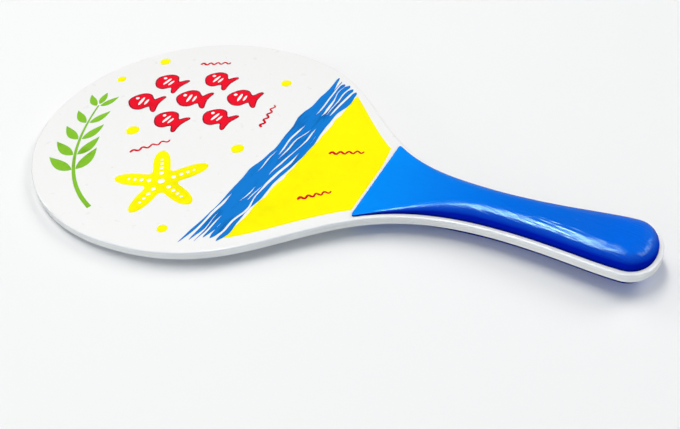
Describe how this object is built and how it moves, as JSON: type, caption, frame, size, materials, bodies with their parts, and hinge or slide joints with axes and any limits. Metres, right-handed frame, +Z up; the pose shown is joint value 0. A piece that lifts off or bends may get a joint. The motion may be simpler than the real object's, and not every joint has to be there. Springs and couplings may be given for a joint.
{
  "type": "frescobol racket",
  "caption": "Flat round-headed wooden beach racket: white lacquered plywood board with shaped blue grip halves glued on both faces of the handle.",
  "frame": {"origin": "under the middle of the racket's length and width, level with the lowest point of the lower grip half", "axes": "+X along the racket from the tip of the head to the end of the handle, +Y across it, +Z up through the board, whose faces are level"},
  "size_m": [0.38, 0.1992, 0.0226],
  "materials": {
    "white_lacquer": "gloss white lacquer over plywood, printed on the upper face",
    "sealed_edge": "satin white paint over the edge of the sheets",
    "sealed_core_edge": "satin white paint, thin enough that the wood tints it",
    "blue_lacquer": "gloss blue lacquer over wood, with fine grain streaks"
  },
  "bodies": {
    "root": {"face_veneer_bottom": "white_lacquer", "crossband_lower": "sealed_edge", "core_veneer": "sealed_core_edge", "crossband_upper": "sealed_edge", "face_veneer_top": "white_lacquer", "grip_top": "blue_lacquer", "grip_bottom": "blue_lacquer"}
  },
  "joints": []
}
